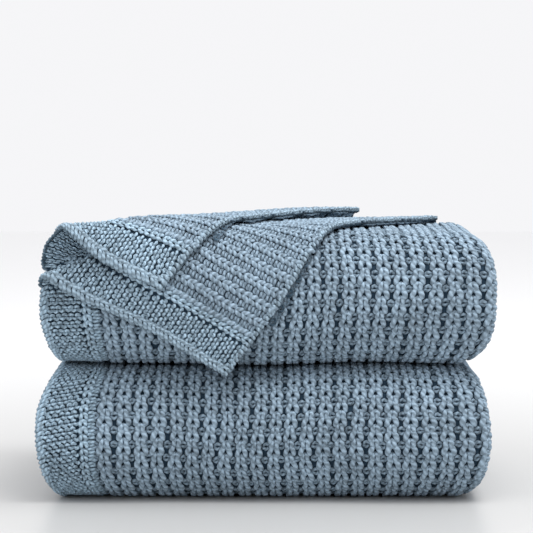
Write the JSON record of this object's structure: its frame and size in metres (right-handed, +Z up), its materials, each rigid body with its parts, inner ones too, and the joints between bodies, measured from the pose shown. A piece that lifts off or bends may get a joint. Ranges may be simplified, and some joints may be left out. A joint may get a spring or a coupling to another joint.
{
  "type": "folded throw blanket",
  "caption": "Chunky rib-knit throw with garter borders, folded into a two-bundle stack with two corners turned over the front.",
  "frame": {"origin": "centre of the stack's footprint, on the surface it lies on", "axes": "+X to the right across the folded width, +Y to the back, +Z up; the two rounded front folds face -Y"},
  "size_m": [0.3304, 0.23, 0.2065],
  "materials": {
    "knit_rib": "matte",
    "knit_garter": "matte",
    "knit_edge": "matte"
  },
  "bodies": {
    "lower_bundle": {"lower_face_border": "knit_garter", "lower_ribbed_panel": "knit_rib", "lower_second_border": "knit_garter", "rear_inner_face_border": "knit_garter", "rear_inner_ribbed_panel": "knit_rib", "rear_inner_second_border": "knit_garter", "rear_outer_face_border": "knit_garter", "rear_outer_ribbed_panel": "knit_rib", "rear_outer_second_border": "knit_garter"},
    "upper_bundle": {"cast_off_edge": "knit_edge", "cast_on_edge": "knit_edge", "face_border": "knit_garter", "face_end_edge": "knit_edge", "face_ribbed_panel": "knit_rib", "inner_ribbed_panel": "knit_rib", "over_corner_border": "knit_garter", "over_corner_crease": "knit_rib", "over_corner_end_edge": "knit_edge", "over_corner_ribbed_panel": "knit_rib", "second_border": "knit_garter", "second_end_edge": "knit_edge", "second_ribbed_panel": "knit_rib", "under_corner_border": "knit_garter", "under_corner_crease": "knit_rib", "under_corner_end_edge": "knit_edge", "under_corner_ribbed_panel": "knit_rib", "under_face_border": "knit_garter", "under_ribbed_panel": "knit_rib", "under_second_border": "knit_garter"},
    "under_tip": {"under_tip_border": "knit_garter", "under_tip_end_edge": "knit_edge", "under_tip_ribbed_panel": "knit_rib"},
    "over_tip": {"over_tip_border": "knit_garter", "over_tip_end_edge": "knit_edge"}
  },
  "joints": [
    {"name": "rear_fold", "type": "hinge", "parent": "lower_bundle", "child": "upper_bundle", "pos_m": [0, 0.07148, 0.09715], "axis": [-1, 0, 0], "range_deg": [0, 170], "deforming": ["rear_inner_face_border", "rear_inner_ribbed_panel", "rear_inner_second_border", "rear_outer_face_border", "rear_outer_ribbed_panel", "rear_outer_second_border"]},
    {"name": "under_corner_lift", "type": "hinge", "parent": "upper_bundle", "child": "under_tip", "pos_m": [0, -0.10981, 0.13995], "axis": [-1, 0, 0], "range_deg": [0, 120]},
    {"name": "over_corner_lift", "type": "hinge", "parent": "upper_bundle", "child": "over_tip", "pos_m": [0, -0.1099, 0.17507], "axis": [-1, 0, 0], "range_deg": [0, 120]}
  ]
}
